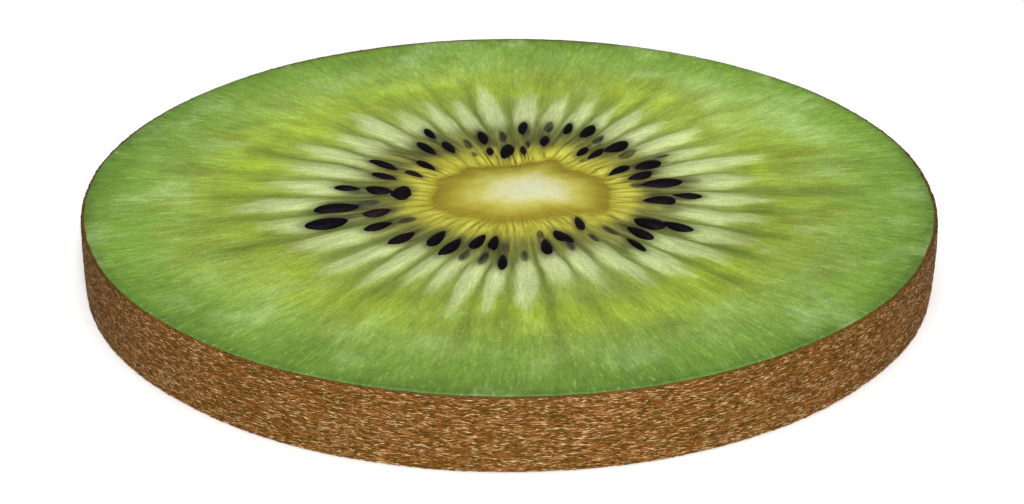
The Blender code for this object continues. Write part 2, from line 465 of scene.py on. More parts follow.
def write_ray(piece: bpy.types.Object, bearing: Array, along: Array) -> None:
    """Stores the way that each point lies in, and how far along it is, for streaks to follow."""
    write_field(piece, "ray", np.stack([np.cos(bearing), np.sin(bearing), along], axis=-1))


def band_faces(first: int, rows: int, columns: int, closed: bool, turned: bool = False) -> list[list[int]]:
    """Four-sided faces of a band of rows that runs once round.

    Args:
        first: Number of the band's first point.
        rows: Rows of points.
        columns: Points in a row.
        closed: Whether the last row joins the first, which makes a ring.
        turned: Whether the faces look the other way.

    Returns:
        The faces.
    """
    row = np.arange(rows if closed else rows - 1)[:, None]
    column = np.arange(columns)[None, :]
    below = first + row * columns
    above = first + (row + 1) % rows * columns
    after = (column + 1) % columns
    corners = np.stack([below + column, above + column, above + after, below + after], axis=-1)
    return corners.reshape(-1, 4)[:, :: -1 if turned else 1].tolist()


def fan_faces(middle: int, first: int, columns: int, turned: bool = False) -> list[list[int]]:
    """Three-sided faces between one point and a row that runs once round.

    Args:
        middle: Number of the one point.
        first: Number of the row's first point.
        columns: Points in the row.
        turned: Whether the faces look the other way.

    Returns:
        The faces.
    """
    step = np.arange(columns)
    edge = [first + step, first + (step + 1) % columns]
    return np.stack([np.full_like(step, middle), *(edge[::-1] if turned else edge)], axis=-1).tolist()


def rows_between(first: Array, last: Array, count: int) -> Array:
    """So many rows of points that lie evenly between two others."""
    shares = (np.arange(count) + 1)[:, None, None] / (count + 1)
    return first[None] * (1 - shares) + last[None] * shares


def dress(piece: bpy.types.Object, material: bpy.types.Material, slot: Slot) -> None:
    """Gives a piece its finish, and says what it stands for and rides on.

    Args:
        piece: The mesh object.
        material: Its finish.
        slot: The record's slot that the finish belongs to.
    """
    piece.data.materials.append(material)
    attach(piece, BODY)
    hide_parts(NODE)
    faces = sum(len(face.vertices) - 2 for face in piece.data.polygons)
    log.info("%s: %d triangles, slot %s", piece.name, faces, slot.value)


# Finishes. A cloud is noise, given by its fineness, how many finer layers it has, and their strength. A
# streak is noise drawn out along the stored rays, given by its fineness across and along them, then the same.


class Graph:
    """The node tree of one material, with short calls for the nodes that the finishes use."""

    def __init__(self, name: str) -> None:
        """Starts a material with a Principled shader.

        Args:
            name: The material's name.
        """
        self.material = bpy.data.materials.new(name)
        self.material.use_nodes = True
        self.tree = self.material.node_tree
        self.shader = self.tree.nodes["Principled BSDF"]

    def feed(self, socket: Socket, value: Input) -> None:
        """Links an output to a socket, or sets the socket to a plain value.

        Args:
            socket: The input.
            value: An output, a number, a vector or a colour.
        """
        if isinstance(value, Socket):
            self.tree.links.new(value, socket)
        else:
            socket.default_value = value

    def set(self, **values: Input) -> None:
        """Feeds the shader's sockets.

        Args:
            values: A value for each socket, named in small letters with underscores.
        """
        for name, value in values.items():
            words = name.replace("_", " ").title().replace("Ior", "IOR")
            self.feed(self.shader.inputs[words], value)

    def node(self, kind: str, output: Plug, inputs: dict[Plug, Input], **settings: object) -> Socket:
        """Adds a node.

        Args:
            kind: Its type, without the words that all types start with.
            output: The output that is wanted, by name or number.
            inputs: What each input is fed, by name or number.
            settings: Its other settings.

        Returns:
            The output.
        """
        node = self.tree.nodes.new("ShaderNode" + kind)
        for name, setting in settings.items():
            setattr(node, name, setting)
        for name, value in inputs.items():
            self.feed(node.inputs[name], value)
        return node.outputs[output]

    def number(self, name: str) -> Socket:
        """The number stored under a name at the mesh's points."""
        return self.node("Attribute", "Fac", {}, attribute_name=name)

    def noise(self, place: Socket, stretch: Triple, detail: float, rough: float) -> Socket:
        """Smooth noise.

        Args:
            place: Where it is read.
            stretch: Factor for the place along each axis.
            detail: How many finer layers it has.
            rough: Strength of the finer layers.

        Returns:
            A number from 0 to 1, mostly near a half.
        """
        stretched = self.node("VectorMath", 0, {0: place, 1: stretch}, operation="MULTIPLY")
        inputs = {"Vector": stretched, "Scale": 1.0, "Detail": detail, "Roughness": rough}
        return self.node("TexNoise", 0, inputs)

    def in_space(self, scale: float, detail: float, rough: float) -> Socket:
        """Noise in the piece's own space, finer with a larger scale."""
        return self.noise(self.node("TexCoord", "Object", {}), (scale, scale, scale), detail, rough)

    def along_ray(self, across: float, along: float, detail: float, rough: float) -> Socket:
        """Noise that is drawn out along the stored rays."""
        ray = self.node("Attribute", "Vector", {}, attribute_name="ray")
        return self.noise(ray, (across, across, along), detail, rough)

    def remap(self, value: Input, low: float, high: float, to: Range = (0.0, 1.0)) -> Socket:
        """A number mapped by an even S-curve from one range to another, and held at its ends."""
        inputs = {"Value": value, "From Min": low, "From Max": high, "To Min": to[0], "To Max": to[1]}
        return self.node("MapRange", "Result", inputs, interpolation_type="SMOOTHSTEP")

    def spread(self, noise: Socket, to: Range, half: float = 0.2) -> Socket:
        """Noise brought from so far round its middle to a range."""
        return self.remap(noise, 0.5 - half, 0.5 + half, to)

    def math(self, operation: str, first: Input, second: Input) -> Socket:
        """A sum or product of two numbers, held between 0 and 1."""
        return self.node("Math", 0, {0: first, 1: second}, operation=operation, use_clamp=True)

    def times(self, first: Input, *others: Input) -> Socket:
        """A product of numbers, each step held between 0 and 1.

        Args:
            first: The first number.
            others: The numbers that it is multiplied by.

        Returns:
            The product.
        """
        for other in others:
            first = self.math("MULTIPLY", first, other)
        return first

    def mix(self, under: Input, over: Input, share: Input) -> Socket:
        """One colour laid over another, of which a share shows."""
        return self.node("Mix", 2, {0: share, 6: under, 7: over}, data_type="RGBA")

    def shade(self, colour: Input, value: Input) -> Socket:
        """A colour made lighter or darker."""
        return self.node("HueSaturation", 0, {"Color": colour, "Value": value})

    def ramp(self, value: Socket, stops: Stops) -> Socket:
        """A colour that runs through several stops.

        Args:
            value: A number from 0 to 1.
            stops: Each stop's place and colour, in order.

        Returns:
            The colour at that number.
        """
        colour = self.node("ValToRGB", 0, {0: value})
        ramp = colour.node.color_ramp
        ramp.interpolation = "EASE"
        while len(ramp.elements) < len(stops):
            ramp.elements.new(0.5)
        for element, (place, shown) in zip(ramp.elements, stops):
            element.position = place
            element.color = shown
        return colour

    def bump(self, height: Socket, depth: float, strength: float, under: Socket | None = None) -> Socket:
        """Fine relief of a depth in metres, over another normal where one is given."""
        inputs = {"Height": height, "Distance": depth, "Strength": strength}
        return self.node("Bump", 0, inputs if under is None else inputs | {"Normal": under})


@dataclass(frozen=True)
class Grain:
    """Fine noise that shades, roughens and dents a surface.

    Attributes:
        scale: Its fineness.
        rough: Strength of its finer layers.
        shade: Least and greatest brightness that it gives the colour.
        roughness: Least and greatest roughness.
        depth: Depth of its relief.
        relief: How much of the relief shows.
        gloss: Strength of the shine.
        half: How far round its middle the noise is spread for the shade.
        detail: How many finer layers it has.
    """

    scale: float
    rough: float
    shade: Range
    roughness: Range
    depth: float
    relief: float
    gloss: float
    half: float = 0.2
    detail: float = 2.0

    def finish(self, graph: Graph, colour: Socket, under: Socket | None = None) -> None:
        """Feeds the shader.

        Args:
            graph: The material.
            colour: The surface's colour.
            under: A normal that the relief is laid over.
        """
        noise = graph.in_space(self.scale, self.detail, self.rough)
        graph.set(
            base_color=graph.shade(colour, graph.spread(noise, self.shade, self.half)),
            roughness=graph.spread(noise, self.roughness),
            normal=graph.bump(noise, self.depth, self.relief, under),
            specular_ior_level=self.gloss,
        )


@dataclass(frozen=True)
class Moisture:
    """How far light gets into moist flesh."""

    share: float = 0.12
    depth: float = 0.0005

    def finish(self, graph: Graph, tint: Triple) -> None:
        """Feeds the shader, with how far each of red, green and blue gets."""
        graph.set(subsurface_weight=self.share, subsurface_radius=tint, subsurface_scale=self.depth)


@dataclass(frozen=True)
class FleshFinish:
    """Moist green flesh with pale flames, dark chamber walls and a golden ring round the core."""

    # Colours from the core's edge to the skin, and the fields that are painted over them in turn
    by_reach: Stops = stops(
        (0.18, 143, 130, 30), (0.20, 164, 159, 40), (0.25, 158, 154, 50), (0.31, 128, 126, 54),
        (0.38, 130, 140, 72), (0.46, 146, 162, 84), (0.56, 144, 162, 68), (0.63, 144, 165, 55),
        (0.72, 143, 167, 62), (0.80, 135, 163, 70), (0.90, 119, 152, 59), (0.96, 111, 142, 51),
        (1.00, 84, 116, 42),
    )
    layers: tuple[tuple[str, Colour], ...] = (
        ("lime", paint(162, 187, 44)),
        ("stain", paint(124, 134, 36)),
        ("shore", paint(90, 126, 50)),
        ("murk", paint(78, 78, 40)),
        ("finger", paint(206, 204, 82)),
        ("gap", paint(96, 80, 20)),
        ("rim", paint(116, 96, 22)),
        ("wall", paint(86, 102, 34)),
        ("spear", paint(190, 200, 142)),
    )
    # Colour of the seeds seen through the flesh, and of the painted shade round bare seeds
    veil_and_shade: Colour = paint(30, 28, 24)
    pale: Colour = paint(172, 200, 130)
    deep: Colour = paint(98, 134, 40)
    outer: Range = (0.50, 0.70)
    pale_clouds: Range = (0.50, 0.74)
    deep_clouds: Range = (0.50, 0.28)
    cloud_share: float = 0.40
    # Painted light and shade: the painted sun field mixes in pale flesh and raises or lowers brightness,
    # lighter towards the back
    sunlit: Range = (0.72, 1.0)
    sunlit_end: Range = (0.93, 0.84)
    sunlit_share: float = 0.26
    sun_shade: Range = (0.80, 1.21)
    streak_shade: Range = (0.89, 1.10)
    fibre_shade: Range = (0.90, 1.09)
    veil_shade: Range = (0.8, 1.2)
    flecks: Range = (0.60, 0.76)
    fleck_share: float = 0.36
    streaks: Streak = (42, 11, 3.0, 0.6)
    fibres: Streak = (120, 30, 2.0, 0.6)
    clouds: Cloud = (260, 3.0, 0.55)
    fibre_depth: float = 0.00004
    fibre_relief: float = 0.5
    tint: Triple = (1.0, 0.9, 0.4)
    grain: Grain = Grain(7000, 0.65, (0.89, 1.11), (0.36, 0.52), 0.00003, 0.6, 0.25, half=0.18)

    def material(self) -> bpy.types.Material:
        """Builds the finish, which reads the fields that the flesh's points hold.

        Returns:
            The material.
        """
        graph = Graph("kiwi_flesh")
        reach, painted_sun_and_patches = graph.number("reach"), graph.number("painted_sun_and_patches")
        streaks = graph.along_ray(*self.streaks)
        fibres = graph.along_ray(*self.fibres)
        clouds = graph.in_space(*self.clouds)
        outer = graph.remap(reach, *self.outer)
        # Painted light: where the painted sun field is palest, pale flesh is mixed in
        sunlit = graph.times(graph.remap(painted_sun_and_patches, *self.sunlit), outer, graph.remap(reach, *self.sunlit_end))
        colour = graph.ramp(reach, self.by_reach)
        for over, share, most in (
            (self.pale, graph.times(graph.remap(clouds, *self.pale_clouds), outer), self.cloud_share),
            (self.deep, graph.times(graph.remap(clouds, *self.deep_clouds), outer), self.cloud_share),
            (self.pale, sunlit, self.sunlit_share),
        ):
            colour = graph.mix(colour, over, graph.times(share, most))
        for name, over in self.layers:
            colour = graph.mix(colour, over, graph.number(name))
        # Painted light and shade: brighter towards the back, darker towards the front, with random patches
        colour = graph.shade(colour, graph.remap(painted_sun_and_patches, 0.0, 1.0, self.sun_shade))
        colour = graph.shade(colour, graph.spread(streaks, self.streak_shade))
        colour = graph.shade(colour, graph.spread(fibres, self.fibre_shade, self.grain.half))
        # Seeds seen through the flesh, and painted shade round bare seeds
        veil_and_shade = graph.times(graph.number("veil_and_shade"), graph.spread(fibres, self.veil_shade))
        colour = graph.mix(colour, self.veil_and_shade, veil_and_shade)
        flecks = graph.times(graph.remap(fibres, *self.flecks), outer, self.fleck_share)
        colour = graph.mix(colour, self.pale, flecks)
        self.grain.finish(graph, colour, graph.bump(fibres, self.fibre_depth, self.fibre_relief))
        Moisture().finish(graph, self.tint)
        return graph.material


@dataclass(frozen=True)
class CoreFinish:
    """Smooth cream core that turns to dull gold, with a brown rim."""

    by_level: Stops = stops(
        (0.00, 208, 209, 172), (0.05, 205, 205, 156), (0.08, 198, 195, 124), (0.105, 184, 178, 84),
        (0.13, 168, 159, 54), (0.16, 154, 142, 38), (0.19, 142, 128, 30),
    )
    rim: Colour = paint(116, 96, 22)
    clouds: Cloud = (900, 3.0, 0.6)
    cloudiness: Range = (-0.009, 0.009)
    tint: Triple = (1.0, 0.9, 0.5)
    grain: Grain = Grain(4200, 0.6, (0.96, 1.04), (0.36, 0.5), 0.00002, 0.5, 0.25)

    def material(self) -> bpy.types.Material:
        """Builds the finish, which reads the fields that the core's points hold.

        Returns:
            The material.
        """
        graph = Graph("kiwi_core")
        clouds = graph.spread(graph.in_space(*self.clouds), self.cloudiness)
        colour = graph.ramp(graph.math("ADD", graph.number("level"), clouds), self.by_level)
        self.grain.finish(graph, graph.mix(colour, self.rim, graph.number("rim")))
        Moisture().finish(graph, self.tint)
        return graph.material


@dataclass(frozen=True)
class SeedFinish:
    """Nearly black seed coat with a faint purple cast and shallow pits."""

    black: Colour = paint(8, 6, 9)
    plum: Colour = paint(36, 20, 24)
    blotches: Cloud = (1400, 2.0, 0.5)
    blotched: Range = (0.3, 0.6)
    cast: Range = (0.5, 1.0)
    pits: Grain = Grain(7000, 0.6, (0.8, 1.2), (0.36, 0.5), 0.00002, 0.4, 0.045)

    def material(self) -> bpy.types.Material:
        """Builds the finish, which reads how much of a plum cast each seed has.

        Returns:
            The material.
        """
        graph = Graph("kiwi_seed_coat")
        blotches = graph.remap(graph.in_space(*self.blotches), *self.blotched, self.cast)
        cast = graph.times(graph.number("plum"), blotches)
        self.pits.finish(graph, graph.mix(self.black, self.plum, cast))
        return graph.material


@dataclass(frozen=True)
class SkinFinish:
    """Matt brown skin under the fuzz, in short level flecks."""

    brown: Colour = paint(92, 64, 20)
    dark: Colour = paint(52, 40, 6)
    rust: Colour = paint(116, 68, 22)
    clouds: Cloud = (420, 3.0, 0.55)
    flecks: Streak = (150, 56, 2.0, 0.65)
    rusty: Range = (0.42, 0.68)
    flecked: Range = (0.52, 0.36)
    grain: Grain = Grain(9000, 0.6, (0.8, 1.2), (0.7, 0.9), 0.00003, 0.6, 0.15)

    def material(self) -> bpy.types.Material:
        """Builds the finish.

        Returns:
            The material.
        """
        graph = Graph("kiwi_skin")
        clouds, flecks = graph.in_space(*self.clouds), graph.along_ray(*self.flecks)
        colour = graph.mix(self.brown, self.rust, graph.remap(clouds, *self.rusty))
        self.grain.finish(graph, graph.mix(colour, self.dark, graph.remap(flecks, *self.flecked)))
        return graph.material


@dataclass(frozen=True)
class FuzzFinish:
    """Short stiff hairs, from dark brown through rust to straw."""

    tones: Stops = stops(
        (0.00, 52, 42, 3), (0.20, 80, 60, 6), (0.42, 120, 70, 16), (0.64, 140, 84, 34),
        (0.84, 170, 130, 78), (1.00, 208, 184, 138),
    )
    streaks: Cloud = (5000, 2.0, 0.6)
    uneven: Range = (-0.08, 0.08)
    roughness: Range = (0.6, 0.8)
    gloss: float = 0.1

    def material(self) -> bpy.types.Material:
        """Builds the finish, which reads each hair's own tone.

        Returns:
            The material.
        """
        graph = Graph("kiwi_fuzz")
        streaks = graph.in_space(*self.streaks)
        tone = graph.math("ADD", graph.number("tone"), graph.spread(streaks, self.uneven))
        roughness = graph.spread(streaks, self.roughness)
        graph.set(base_color=graph.ramp(tone, self.tones), roughness=roughness, specular_ior_level=self.gloss)
        return graph.material


@dataclass(frozen=True)
class TableFinish:
    """Plain pale tabletop."""

    pale: Colour = paint(252, 252, 251)
    soft: Colour = paint(249, 249, 248)
    clouds: Cloud = (14, 3.0, 0.5)
    roughness: float = 0.8
    gloss: float = 0.1

    def material(self) -> bpy.types.Material:
        """Builds the finish.

        Returns:
            The material.
        """
        graph = Graph("pale_table")
        colour = graph.mix(self.soft, self.pale, graph.in_space(*self.clouds))
        graph.set(base_color=colour, roughness=self.roughness, specular_ior_level=self.gloss)
        return graph.material


# The cut faces: what each point of them is made of, and how high it stands


@dataclass
class CutFace:
    """A cut face of the fruit: its seeds, the sizes of its markings, and what differs from one to the next.

    A range is either where an S-curve starts and ends or what a random number is drawn from.
    """

    plan: FruitPlan
    cut: Cut
    seeds: tuple[SeedPlace, ...]
    draw_seed: int = 7
    lower_clearance: float = 0.00012
    # Relief in metres
    rib: float = 0.00009
    groove: float = 0.00008
    finger_ridge: float = 0.00005
    wall_crease: float = 0.00004
    fibre: float = 0.000012
    unevenness: float = 0.00005
    edge_drop: float = 0.00012
    # Where the relief is, in shares of the reach; the groove is in shares of the core's edge
    rib_rise: Range = (0.27, 0.35)
    rib_fall: Range = (0.50, 0.70)
    groove_place: float = 1.05
    groove_width: float = 0.15
    gap_depth: float = 0.6
    fibre_rise: Range = (0.08, 0.25)
    swell_rise: Range = (0.1, 0.4)
    edge_width: float = 0.009
    # How the rings of colour follow the core's edge, and how they waver
    near_core: float = 0.06
    follow: float = 0.6
    follow_fall: Range = (0.22, 0.45)
    waver: float = 0.012
    waver_rise: Range = (0.22, 0.30)
    waver_fall: Range = (0.85, 0.97)
    # Chambers, whose middles lean from the seeds' bearings to the flames'
    leaning: Range = (0.36, 0.48)
    chamber_waver: float = 0.09
    # Flames
    flame_strengths: Range = (0.80, 1.0)
    flame_widths: Range = (0.31, 0.40)
    dimmer_sides: float = 0.15
    first_flame: float = 0.375
    past_seed: float = -0.006
    past_tip: float = 0.02
    flame_growth: float = 0.05
    flame_taper: float = 0.10
    flame_side: Range = (0.11, -0.09)
    flame_rise: Range = (-0.045, 0.05)
    flame_end: Range = (-0.05, 0.11)
    ragged_side: float = 0.05
    ragged_root: float = 0.014
    ragged_tip: float = 0.03
    flame_texture: float = 0.10
    # Walls
    wall_strengths: Range = (0.45, 1.0)
    wall_widths: Range = (0.08, 0.145)
    wall_ends: Range = (0.66, 0.94)
    wall_slimming: float = 0.9
    wall_widening: float = 0.8
    wall_widens: Range = (0.42, 0.62)
    wall_rise: Range = (0.25, 0.33)
    wall_fall: Range = (-0.16, 0.02)
    inner_wall: float = 0.90
    outer_wall: float = 0.57
    outwards: Range = (0.40, 0.60)
    strong_walls: Sector = Sector(-12, 0.55, 0.28)
    # Murky flesh round the seeds
    seedless_murk: float = 0.55
    murk_blend: Range = (0.2, 0.8)
    murk_rise: Range = (0.255, 0.33)
    murk_fall: Range = (-0.05, 0.06)
    murk_shift: Range = (0.010, 0.012)
    murk_share: Range = (0.56, 0.95)
    murk_ragged: Range = (0.6, 0.4)
    # Fingers
    finger_count: int = 66
    finger_gaps: Range = (0.5, 1.5)
    finger_strengths: Range = (0.35, 1.0)
    finger_lengths: Range = (0.05, 0.115)
    finger_square: float = 0.5
    finger_lean: float = 0.10
    slope_step: float = 0.20
    least_reach: float = 0.05
    finger_waver: float = 0.012
    finger_round: float = 0.8
    finger_fade: Range = (0.35, 1.3)
    finger_root: Range = (-0.004, 0.038)
    finger_ragged: float = 0.018
    # Gaps between the fingers, and brown spots beside the core
    gap_strengths: Range = (0.05, 0.80)
    gap_side: Range = (0.24, 0.48)
    gap_ragged: float = 0.10
    gap_rise: Range = (0.004, 0.030)
    gap_fall: Range = (0.045, 0.125)
    gap_favour: float = 0.18
    spot_strength: float = 0.35
    spot_share: Range = (0.30, 0.80)
    spot_ragged: float = 0.4
    spot_rise: Range = (0.0, 0.02)
    spot_fall: Range = (0.05, 0.10)
    # The core's rim
    rim_strength: float = 0.40
    rim_ragged: float = 0.22
    rim_spots: float = 0.38
    rim_spotted: Range = (-0.025, 0.01)
    rim_width: float = 0.028
    rim_inside: float = 0.010
    # Seeds seen through the flesh, and painted shade round bare ones
    sunken_strength: float = 1.7
    sunken_edge: Range = (0.75, 1.2)
    halo_shade: float = 0.62
    halo_shade_edge: Range = (0.9, 2.0)
    veil_texture: Range = (0.9, 0.2)
    # Deeper green beside the skin, and painted broad light and shade over the outer flesh, mixed with random
    # patches
    shore_rise: Range = (0.90, 1.0)
    shore_ragged: float = 0.02
    front_shore: float = 0.28
    left_shore: Sector = Sector(158, 0.35, 0.75)
    # Painted light and shade: broad brightening towards the back, and a painted sunlit patch at the back
    # right
    sun_degrees: float = 110
    sun_strength: float = 0.4
    sun_patches: float = 0.45
    sun_rise: Range = (0.42, 0.60)
    sun_patch: Sector = Sector(32, 0.40, 0.8)

    def __post_init__(self) -> None:
        """Draws what differs from chamber to chamber and from finger to finger."""
        draw = np.random.default_rng(self.draw_seed + self.cut.value)
        count = len(CHAMBERS)
        to_side = np.cos(np.radians([chamber.degrees for chamber in CHAMBERS])) ** 2
        self.flame_strength = draw.uniform(*self.flame_strengths, count) * (1 - self.dimmer_sides * to_side)
        self.flame_width = draw.uniform(*self.flame_widths, count)
        self.wall_strength = draw.uniform(*self.wall_strengths, count)
        self.wall_width = draw.uniform(*self.wall_widths, count)
        self.wall_end = draw.uniform(*self.wall_ends, count)
        gaps = draw.uniform(*self.finger_gaps, self.finger_count)
        self.finger_edges = np.concatenate([[0.0], np.cumsum(gaps) / gaps.sum()]) * math.tau
        self.finger_strength = draw.uniform(*self.finger_strengths, self.finger_count)
        self.finger_length = draw.uniform(*self.finger_lengths, self.finger_count)
        self.gap_strength = draw.uniform(*self.gap_strengths, self.finger_count)
        self.wobble = Mottle(self.draw_seed + 1, 150, 14)
        self.breakup = Mottle(self.draw_seed + 2, 240, 9)
        self.fine = Mottle(self.draw_seed + 3, 370, 22)
        self.patches = Mottle(self.draw_seed + 4, 34, 10)
        self.streaks = Mottle(self.draw_seed + 5, 90, 12)
        self.flame_start = np.full(count, self.first_flame)
        self.murkiness = np.full(count, self.seedless_murk)
        self.follow_seeds()

    def follow_seeds(self) -> None:
        """Starts each chamber's flame beyond its outermost seed, and darkens chambers with bare seeds."""
        middles = np.array([chamber.seed_degrees for chamber in CHAMBERS])
        for seed in self.seeds:
            nearest = int(np.argmin(np.abs((seed.degrees - middles + 180) % 360 - 180)))
            outer = seed.reach + seed.length * MM / 2 / self.plan.radius
            self.flame_start[nearest] = max(self.flame_start[nearest], outer + self.past_seed)
            if seed.bare:
                self.murkiness[nearest] = 1.0

    def over_table(self, height: Array) -> Array:
        """Height over the table of points that stand so far out of the cut."""
        upper = self.cut is Cut.UPPER
        return self.plan.thickness + height if upper else np.maximum(self.lower_clearance - height, 0.0)

    def downwards(self, band: Array) -> Array:
        """Rows of points from the core outwards, put in the order that runs down the side."""
        return band if self.cut is Cut.UPPER else band[::-1]


@dataclass(frozen=True)
class Patches:
    """Soft patches of another colour in a belt of the flesh.

    Attributes:
        strength: How much of the flesh they hide at most.
        rise: Reaches over which the belt starts.
        fall: Reaches over which it ends.
        share: Noise over which a patch starts and is full.
        ragged: How uneven its edges are.
        even: How strong the patches are all round.
        turns: How many times in a turn they are strongest.
        degrees: A bearing where they are.
    """

    strength: float
    rise: Range
    fall: Range
    share: Range
    ragged: float
    even: float
    turns: int
    degrees: float

    def at(self, ground: "Ground", mottle: Mottle) -> Array:
        """Strength of the patches.

        Args:
            ground: The points.
            mottle: The noise that lays the patches out.

        Returns:
            Strength from 0 to 1.
        """
        uneven = mottle.at(ground.bearing, ground.reach) + self.ragged * ground.breakup
        patches = smooth_step(*self.share, uneven) * belt(ground.reach, self.rise, self.fall)
        away = ground.bearing - math.radians(self.degrees)
        return self.strength * patches * (self.even + (1 - self.even) * np.cos(self.turns * away))


LIME = Patches(0.66, (0.50, 0.60), (0.64, 0.78), (-0.10, 0.80), 0.35, even=0.75, turns=1, degrees=40)
STAIN = Patches(0.78, (0.46, 0.58), (0.74, 0.90), (0.02, 0.85), 0.4, even=0.65, turns=2, degrees=0)


@dataclass
class Ground:
    """Points of a cut face, and the fields there, from which both the relief and the colours come.

    Attributes:
        face: The cut face.
        bearing: The points' bearings.
        reach: Their reaches.
    """

    face: CutFace
    bearing: Array
    reach: Array

    def __post_init__(self) -> None:
        """Finds how each point lies to the core's edge, and in its chamber, and the noise there."""
        face = self.face
        self.edge = face.plan.core_edge(self.bearing)
        self.beyond = self.reach - self.edge
        self.breakup = face.breakup.at(self.bearing, self.reach)
        self.fine = face.fine.at(self.bearing, self.reach)
        self.wobble = face.wobble.at(self.bearing, self.reach)
        number = face.plan.chamber_number(self.bearing, smooth_step(*face.leaning, self.reach))
        number = number + face.chamber_waver * self.wobble
        nearest = np.floor(number + 0.5)
        self.chamber = nearest.astype(int) % len(CHAMBERS)
        self.across = number - nearest

    def ring(self) -> Array:
        """Reach as the rings of colour see it: they follow the core's edge and waver a little.

        Returns:
            The reach that they go by.
        """
        face = self.face
        near_edge = 1 - smooth_step(0.0, face.near_core, self.beyond)
        follow = np.maximum(near_edge, face.follow * (1 - smooth_step(*face.follow_fall, self.reach)))
        waver = face.waver * self.breakup * belt(self.reach, face.waver_rise, face.waver_fall)
        return self.reach - follow * (self.edge - face.plan.usual_core) + waver

    def spear(self) -> Array:
        """Pale flames, one for each chamber, with pointed tips.

        Returns:
            Strength from 0 to 1.
        """
        face = self.face
        tip = FLAME_TIPS[self.chamber] + face.past_tip
        start = face.flame_start[self.chamber]
        widest = np.minimum(start + face.flame_growth, tip - face.flame_taper)
        width = face.flame_width[self.chamber] * np.clip((tip - self.reach) / (tip - widest), 0.0, 1.0) ** 0.5
        body = smooth_step(*face.flame_side, np.abs(self.across) - width + face.ragged_side * self.fine)
        rise = smooth_step(*face.flame_rise, self.reach - start + face.ragged_root * self.breakup)
        end = smooth_step(*face.flame_end, tip - self.reach + face.ragged_tip * self.breakup)
        texture = 1 - face.flame_texture + face.flame_texture * self.fine
        return body * rise * end * face.flame_strength[self.chamber] * texture

    def wall(self) -> Array:
        """Dark walls between the chambers, which fade out in the outer flesh.

        Returns:
            Strength from 0 to 1.
        """
        face = self.face
        side = np.where(self.across > 0, self.chamber, (self.chamber - 1) % len(CHAMBERS))
        wider = face.wall_slimming + face.wall_widening * smooth_step(*face.wall_widens, self.reach)
        line = peak(0.5 - np.abs(self.across), face.wall_width[side] * wider) * face.wall_strength[side]
        fade = 1 - smooth_step(*face.wall_fall, self.reach - face.wall_end[side])
        outer = face.outer_wall + face.strong_walls.at(self.bearing)
        strength = face.inner_wall + (outer - face.inner_wall) * smooth_step(*face.outwards, self.reach)
        return strength * line * smooth_step(*face.wall_rise, self.ring()) * fade

    def murk(self) -> Array:
        """Dull grey-olive flesh round the seeds, which comes a little nearer to the core at the back.

        Returns:
            Strength from 0 to 1.
        """
        face = self.face
        beside = (self.chamber + np.sign(self.across).astype(int)) % len(CHAMBERS)
        share = smooth_step(*face.murk_blend, np.abs(self.across))
        strength = face.murkiness[self.chamber] * (1 - share) + face.murkiness[beside] * share
        shift = face.murk_shift[0] + face.murk_shift[1] * np.sin(self.bearing)
        rise = smooth_step(*face.murk_rise, self.ring() + shift)
        fall = 1 - smooth_step(*face.murk_fall, self.reach - face.flame_start[self.chamber])
        uneven = face.murk_ragged[0] * self.breakup + face.murk_ragged[1] * self.fine
        return strength * rise * fall * np.clip(face.murk_share[0] + face.murk_share[1] * uneven, 0.0, 1.0)

    def among_fingers(self) -> tuple[Array, Array]:
        """Where each point lies among the fingers, which stand square to the core's edge.

        Returns:
            The finger's index, and how far across it the point is, from -0.5 to 0.5.
        """
        face, step = self.face, self.face.slope_step
        ahead, behind = (face.plan.core_edge(self.bearing + way * step) for way in (1, -1))
        slope = (ahead - behind) / (2 * step)
        lean = face.finger_square * slope / self.edge * self.beyond / np.maximum(self.reach, face.least_reach)
        lean = np.clip(lean, -face.finger_lean, face.finger_lean)
        bent = np.mod(self.bearing + lean + face.finger_waver * self.wobble, math.tau)
        index = np.clip(np.searchsorted(face.finger_edges, bent, side="right") - 1, 0, face.finger_count - 1)
        start, end = face.finger_edges[index], face.finger_edges[index + 1]
        return index, (bent - start) / (end - start) - 0.5

    def finger(self) -> Array:
        """Pale yellow fingers that point outwards from the core's edge.

        Returns:
            Strength from 0 to 1.
        """
        face = self.face
        index, across = self.among_fingers()
        ridge = np.cos(np.clip(across, -0.5, 0.5) * math.pi) ** face.finger_round
        fade = 1 - smooth_step(*face.finger_fade, self.beyond / face.finger_length[index])
        root = smooth_step(*face.finger_root, self.beyond + face.finger_ragged * self.breakup)
        return ridge * face.finger_strength[index] * fade * root

    def gap(self) -> Array:
        """Dark lines between the fingers, and brown spots beside the core.

        Returns:
            Strength from 0 to 1.
        """
        face = self.face
        index, across = self.among_fingers()
        side = np.where(across > 0, index, (index - 1) % face.finger_count)
        line = smooth_step(*face.gap_side, np.abs(across) + face.gap_ragged * self.fine)
        line = line * face.gap_strength[side] * belt(self.beyond, face.gap_rise, face.gap_fall)
        spots = smooth_step(*face.spot_share, self.fine + face.spot_ragged * self.breakup)
        spots = spots * belt(self.beyond, face.spot_rise, face.spot_fall)
        favoured = 1 - face.gap_favour + face.gap_favour * np.sin(self.bearing)
        return np.clip(line * favoured + face.spot_strength * spots, 0, 1)

    def rim(self) -> Array:
        """Soft brown line where the core meets the flesh.

        Returns:
            Strength from 0 to 1.
        """
        face = self.face
        spots = face.rim_spots * self.fine * smooth_step(*face.rim_spotted, self.beyond)
        uneven = face.rim_strength + face.rim_ragged * self.breakup + spots
        return np.clip(uneven, 0, 1) * peak(self.beyond + face.rim_inside, face.rim_width)

